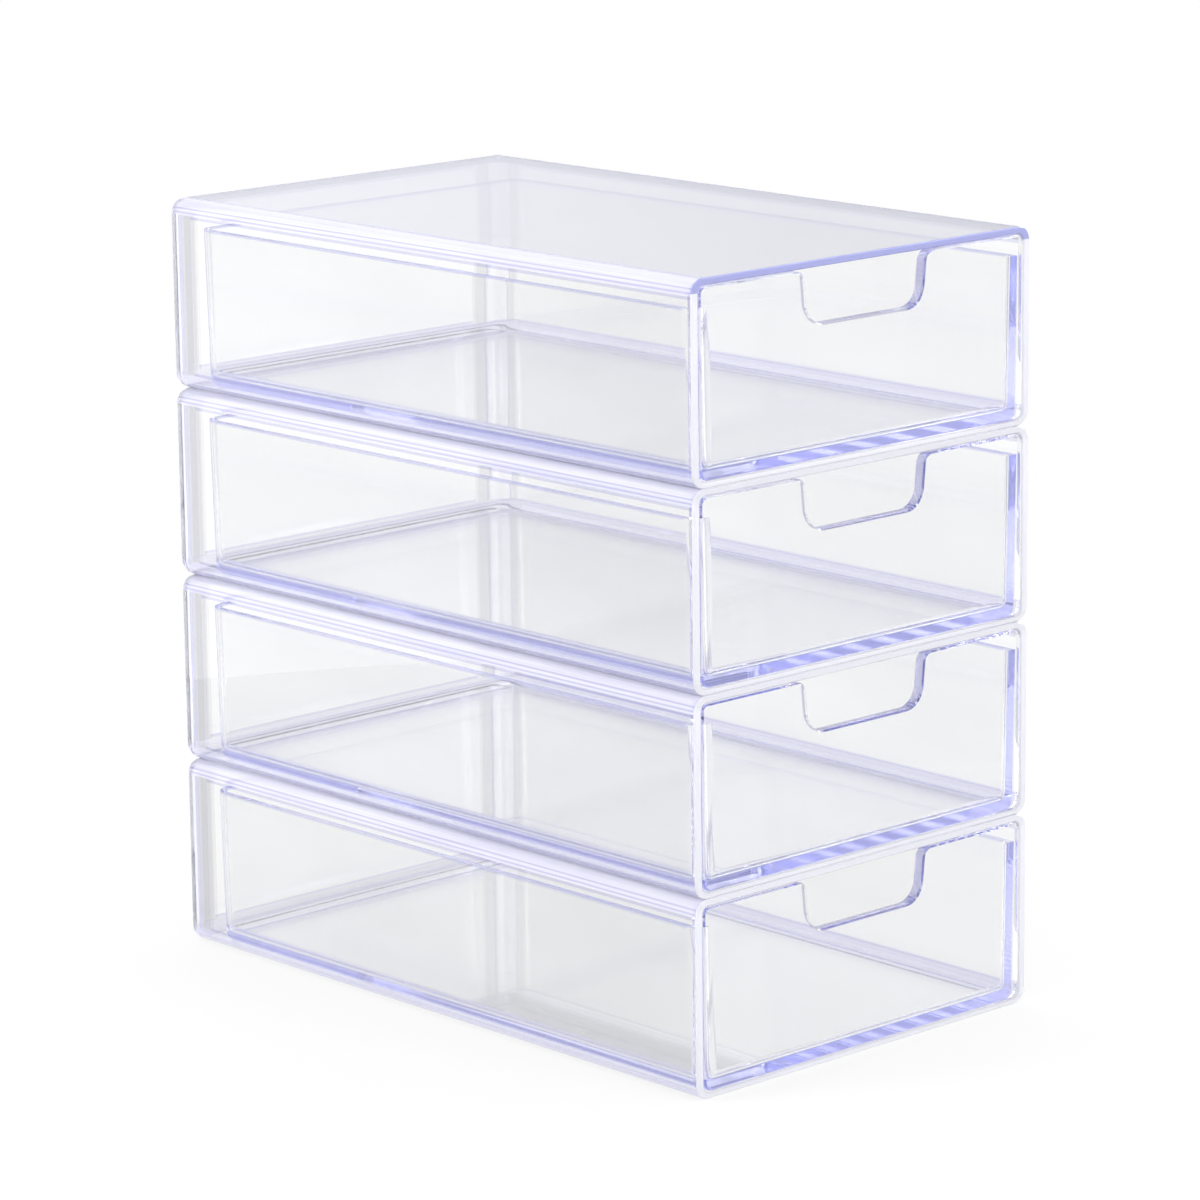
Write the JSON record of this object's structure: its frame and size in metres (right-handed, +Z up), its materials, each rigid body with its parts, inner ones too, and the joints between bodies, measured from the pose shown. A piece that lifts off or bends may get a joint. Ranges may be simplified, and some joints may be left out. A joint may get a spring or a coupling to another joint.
{
  "type": "stackable craft stamp drawers",
  "caption": "Stack of clear plastic drawer units, each an open-fronted case with rounded edges and a pull-out drawer with a finger notch, for craft stamps.",
  "frame": {"origin": "under the middle of the stack, on the plane it stands on", "axes": "+Z up, the drawers open towards -Y, +X to the right of someone facing the fronts from the -Y side"},
  "size_m": [0.148, 0.25, 0.2543],
  "materials": {
    "case_clear": "clear moulded plastic, polished",
    "drawer_clear": "clear moulded plastic, polished"
  },
  "bodies": {
    "case_1_body": {"case_1": "case_clear"},
    "drawer_1_body": {"drawer_1": "drawer_clear"},
    "case_2_body": {"case_2": "case_clear"},
    "drawer_2_body": {"drawer_2": "drawer_clear"},
    "case_3_body": {"case_3": "case_clear"},
    "drawer_3_body": {"drawer_3": "drawer_clear"},
    "case_4_body": {"case_4": "case_clear"},
    "drawer_4_body": {"drawer_4": "drawer_clear"}
  },
  "joints": [
    {"name": "drawer_1_slide", "type": "slide", "parent": "case_1_body", "child": "drawer_1_body", "axis": [0, -1, 0], "range_m": [0, 0.19]},
    {"name": "drawer_2_slide", "type": "slide", "parent": "case_2_body", "child": "drawer_2_body", "axis": [0, -1, 0], "range_m": [0, 0.19]},
    {"name": "case_2_lift", "type": "slide", "parent": "case_1_body", "child": "case_2_body", "axis": [0, 0, 1], "range_m": [0, 0.08]},
    {"name": "drawer_3_slide", "type": "slide", "parent": "case_3_body", "child": "drawer_3_body", "axis": [0, -1, 0], "range_m": [0, 0.19]},
    {"name": "case_3_lift", "type": "slide", "parent": "case_2_body", "child": "case_3_body", "axis": [0, 0, 1], "range_m": [0, 0.08]},
    {"name": "drawer_4_slide", "type": "slide", "parent": "case_4_body", "child": "drawer_4_body", "axis": [0, -1, 0], "range_m": [0, 0.19]},
    {"name": "case_4_lift", "type": "slide", "parent": "case_3_body", "child": "case_4_body", "axis": [0, 0, 1], "range_m": [0, 0.08]}
  ]
}
